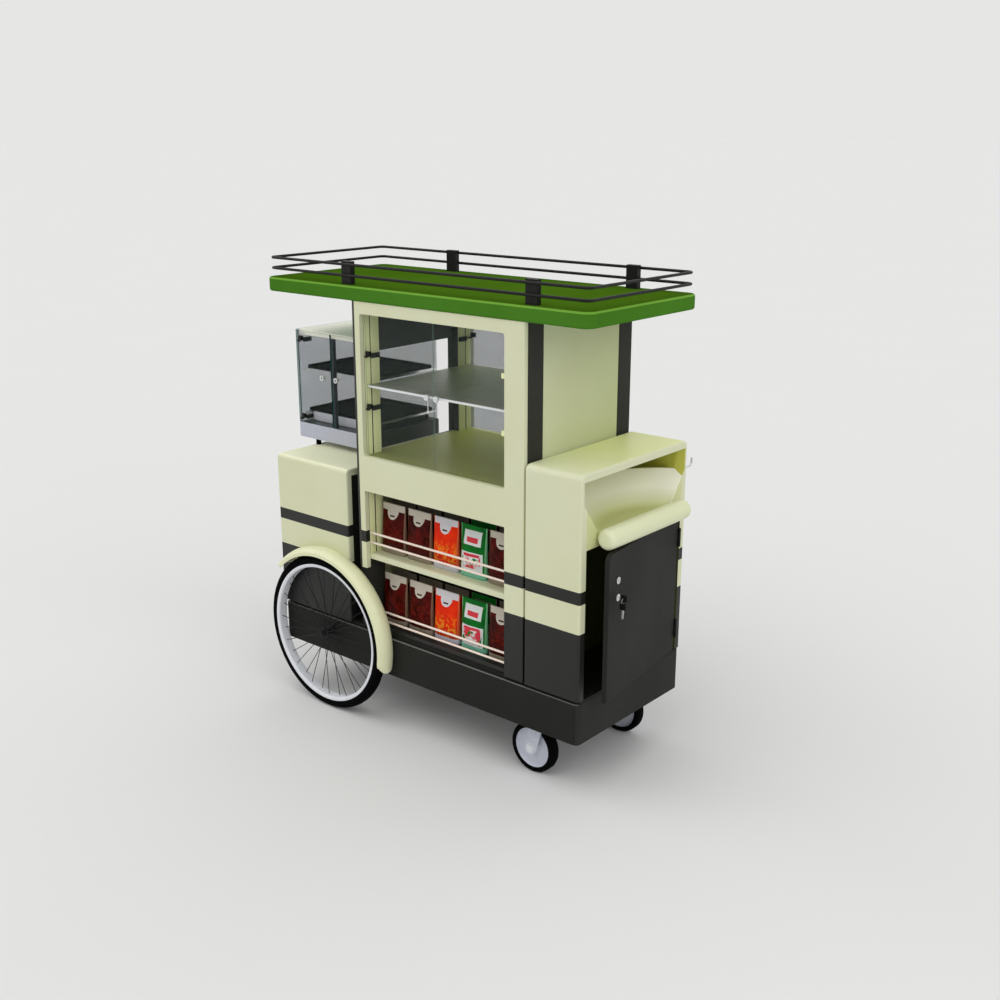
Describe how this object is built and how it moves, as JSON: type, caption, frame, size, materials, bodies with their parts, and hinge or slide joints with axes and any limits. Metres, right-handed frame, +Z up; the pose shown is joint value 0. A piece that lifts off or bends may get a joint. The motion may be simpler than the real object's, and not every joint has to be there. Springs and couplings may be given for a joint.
{
  "type": "candy cart",
  "caption": "Cream and green street candy cart with spoked wheels, a glazed display tower, a glass food warmer and a push handle",
  "frame": {"origin": "on the floor under the middle of the whole cart's bounding box", "axes": "+Z up, +X towards the push handle, -Y towards the customer"},
  "size_m": [1.7695, 0.808, 1.85],
  "materials": {
    "cream_paint": "satin paint on board",
    "cream_moulding": "satin",
    "dark_paint": "satin paint on board",
    "green_paint": "gloss paint on board",
    "black_metal": "satin black",
    "cream_metal": "satin paint",
    "chassis_metal": "mill finish",
    "white_rim": "gloss paint",
    "tyre_rubber": "matte",
    "caster_rubber": "matte",
    "caster_grey": "satin",
    "dull_steel": "brushed",
    "bright_metal": "bright",
    "shelf_metal": "satin",
    "tray_metal": "dark enamel",
    "clear_glass": "clear with a green edge",
    "packet_foil": "printed pouch without print"
  },
  "bodies": {
    "cart": {"axle": "dull_steel", "bag_hook": "bright_metal", "bay_back": "dark_paint", "caster_plates": "dull_steel", "chassis_frame": "chassis_metal", "corner_posts": "dark_paint", "deck": "dark_paint", "display_floor": "cream_paint", "display_shelf": "shelf_metal", "far_fender": "cream_metal", "fixed_glass": "clear_glass", "front_panel": "cream_paint", "guard_wires": "bright_metal", "hinge_brackets": "black_metal", "left_cabinet": "cream_paint", "left_cabinet_ends": "dark_paint", "near_fender": "cream_metal", "packets": "packet_foil", "product_shelves": "cream_paint", "push_handle": "cream_moulding", "rear_panel": "cream_paint", "right_cabinet": "cream_paint", "roof": "green_paint", "roof_rail": "black_metal", "side_panels": "cream_paint", "skirt": "dark_paint", "warmer_base": "dull_steel", "warmer_feet": "caster_rubber", "warmer_mullion": "black_metal", "warmer_rails": "bright_metal", "warmer_top": "cream_moulding", "warmer_trays": "tray_metal"},
    "near_wheel": {"near_tyre": "tyre_rubber", "near_rim": "white_rim", "near_hub_and_spokes": "dull_steel"},
    "far_wheel": {"far_tyre": "tyre_rubber", "far_rim": "white_rim", "far_hub_and_spokes": "dull_steel"},
    "near_caster": {"near_caster_fork": "dull_steel"},
    "far_caster": {"far_caster_fork": "dull_steel"},
    "near_caster_wheel": {"near_caster_tyre": "caster_rubber", "near_caster_disc": "caster_grey"},
    "far_caster_wheel": {"far_caster_tyre": "caster_rubber", "far_caster_disc": "caster_grey"},
    "handle_end_door": {"end_door": "dark_paint", "end_door_fittings": "bright_metal"},
    "upper_lock": {"upper_lock_plug": "bright_metal"},
    "lower_lock": {"lower_lock_plug": "bright_metal"},
    "front_left_leaf": {"front_left_door": "clear_glass", "front_left_door_fittings": "bright_metal"},
    "front_right_leaf": {"front_right_door": "clear_glass", "front_right_door_fittings": "bright_metal"},
    "rear_left_leaf": {"rear_left_door": "clear_glass", "rear_left_door_fittings": "bright_metal"},
    "rear_right_leaf": {"rear_right_door": "clear_glass", "rear_right_door_fittings": "bright_metal"},
    "warmer_left_leaf": {"warmer_left_door": "clear_glass", "warmer_left_door_fittings": "bright_metal"},
    "warmer_right_leaf": {"warmer_right_door": "clear_glass", "warmer_right_door_fittings": "bright_metal"}
  },
  "joints": [
    {"name": "near_wheel_spin", "type": "hinge", "parent": "cart", "child": "near_wheel", "pos_m": [-0.4948, -0.365, 0.33], "axis": [0, 1, 0], "continuous": true},
    {"name": "far_wheel_spin", "type": "hinge", "parent": "cart", "child": "far_wheel", "pos_m": [-0.4948, 0.365, 0.33], "axis": [0, 1, 0], "continuous": true},
    {"name": "near_caster_swivel", "type": "hinge", "parent": "cart", "child": "near_caster", "pos_m": [0.5422, -0.24, 0.2185], "axis": [0, 0, 1], "continuous": true},
    {"name": "far_caster_swivel", "type": "hinge", "parent": "cart", "child": "far_caster", "pos_m": [0.5422, 0.24, 0.2185], "axis": [0, 0, 1], "continuous": true},
    {"name": "near_caster_spin", "type": "hinge", "parent": "near_caster", "child": "near_caster_wheel", "pos_m": [0.5142, -0.24, 0.1], "axis": [0, 1, 0], "continuous": true},
    {"name": "far_caster_spin", "type": "hinge", "parent": "far_caster", "child": "far_caster_wheel", "pos_m": [0.5702, 0.24, 0.1], "axis": [0, 1, 0], "continuous": true},
    {"name": "end_door_hinge", "type": "hinge", "parent": "cart", "child": "handle_end_door", "pos_m": [0.7792, 0.289, 0.665], "axis": [0, 0, 1], "range_deg": [-8.5, 95]},
    {"name": "upper_lock_turn", "type": "hinge", "parent": "handle_end_door", "child": "upper_lock", "pos_m": [0.85384, -0.21045, 0.836], "axis": [0.989, 0.1478, 0], "range_deg": [0, 90]},
    {"name": "lower_lock_turn", "type": "hinge", "parent": "handle_end_door", "child": "lower_lock", "pos_m": [0.85384, -0.21045, 0.773], "axis": [-0.989, -0.1478, 0], "range_deg": [0, 90]},
    {"name": "front_left_door_hinge", "type": "hinge", "parent": "cart", "child": "front_left_leaf", "pos_m": [-0.2758, -0.3, 1.386], "axis": [0, 0, -1], "range_deg": [0, 95]},
    {"name": "front_right_door_hinge", "type": "hinge", "parent": "cart", "child": "front_right_leaf", "pos_m": [0.4222, -0.3, 1.386], "axis": [0, 0, 1], "range_deg": [0, 95]},
    {"name": "rear_right_door_hinge", "type": "hinge", "parent": "cart", "child": "rear_right_leaf", "pos_m": [0.4222, 0.3, 1.386], "axis": [0, 0, -1], "range_deg": [0, 95]},
    {"name": "rear_left_door_hinge", "type": "hinge", "parent": "cart", "child": "rear_left_leaf", "pos_m": [-0.2758, 0.3, 1.386], "axis": [0, 0, 1], "range_deg": [0, 95]},
    {"name": "warmer_left_door_hinge", "type": "hinge", "parent": "cart", "child": "warmer_left_leaf", "pos_m": [-0.8698, -0.127, 1.324], "axis": [0, 0, -1], "range_deg": [0, 95]},
    {"name": "warmer_right_door_hinge", "type": "hinge", "parent": "cart", "child": "warmer_right_leaf", "pos_m": [-0.4778, -0.127, 1.324], "axis": [0, 0, 1], "range_deg": [0, 95]}
  ]
}
